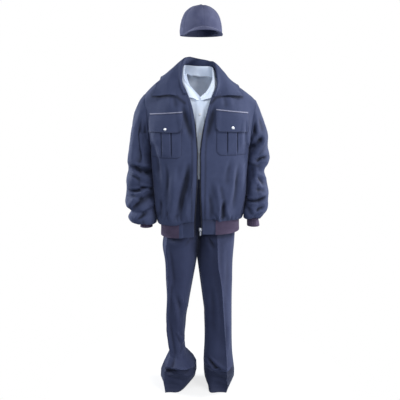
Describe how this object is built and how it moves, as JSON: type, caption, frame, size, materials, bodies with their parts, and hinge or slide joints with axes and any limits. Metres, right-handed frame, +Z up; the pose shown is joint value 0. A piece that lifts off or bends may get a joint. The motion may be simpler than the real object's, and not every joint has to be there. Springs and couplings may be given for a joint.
{
  "type": "bus driver uniform",
  "caption": "Worn workwear set with no wearer: open zipped blouson jacket over a tucked shirt, trousers and a peaked cap.",
  "frame": {"origin": "base of the neck, midway between the shoulders, where the wearer carries the clothes", "axes": "+Z up, the front faces -Y, +X is the wearer's left"},
  "size_m": [0.667, 0.3295, 1.8048],
  "materials": {
    "jacket_twill": "navy polyester twill with a soft matt face",
    "rib_knit": "plum-navy rib knit",
    "trouser_cloth": "fine navy suiting with a slight sheen",
    "shirt_cotton": "pale blue poplin, almost white at the collar",
    "cap_cotton": "brushed navy cotton twill",
    "piping": "pale grey woven piping",
    "zip_tape": "dark navy woven tape",
    "bright_metal": "bright nickel plate",
    "shirt_button": "pearly white"
  },
  "bodies": {
    "garment": {"cap_button": "cap_cotton", "cap_panel_1": "cap_cotton", "cap_panel_2": "cap_cotton", "cap_panel_3": "cap_cotton", "cap_panel_4": "cap_cotton", "cap_panel_5": "cap_cotton", "cap_panel_6": "cap_cotton", "cap_visor": "cap_cotton", "jacket_back": "jacket_twill", "jacket_collar": "jacket_twill", "jacket_cuff_left": "rib_knit", "jacket_cuff_right": "rib_knit", "jacket_flap_left": "jacket_twill", "jacket_flap_right": "jacket_twill", "jacket_front_left": "jacket_twill", "jacket_front_right": "jacket_twill", "jacket_piping_left": "piping", "jacket_piping_right": "piping", "jacket_pocket_left": "jacket_twill", "jacket_pocket_right": "jacket_twill", "jacket_sleeve_left": "jacket_twill", "jacket_sleeve_right": "jacket_twill", "jacket_stud_left": "bright_metal", "jacket_stud_right": "bright_metal", "jacket_waist_rib": "rib_knit", "jacket_waist_tab_left": "jacket_twill", "jacket_waist_tab_right": "jacket_twill", "shirt_back": "shirt_cotton", "shirt_button_1": "shirt_button", "shirt_button_2": "shirt_button", "shirt_button_3": "shirt_button", "shirt_button_4": "shirt_button", "shirt_collar": "shirt_cotton", "shirt_front_left": "shirt_cotton", "shirt_front_right": "shirt_cotton", "shirt_placket": "shirt_cotton", "shirt_sleeve_left": "shirt_cotton", "shirt_sleeve_right": "shirt_cotton", "trouser_back_left": "trouser_cloth", "trouser_back_right": "trouser_cloth", "trouser_fly": "trouser_cloth", "trouser_front_left": "trouser_cloth", "trouser_front_right": "trouser_cloth", "trouser_waistband": "trouser_cloth", "zip_bail": "bright_metal", "zip_slider": "bright_metal", "zip_tape_left": "zip_tape", "zip_tape_right": "zip_tape"},
    "zip_pull": {"zip_pull": "bright_metal"}
  },
  "joints": [
    {"name": "zip_pull_swing", "type": "hinge", "parent": "garment", "child": "zip_pull", "pos_m": [0.00215, -0.13486, -0.597], "axis": [-1, 0, 0], "range_deg": [0, 150]}
  ]
}
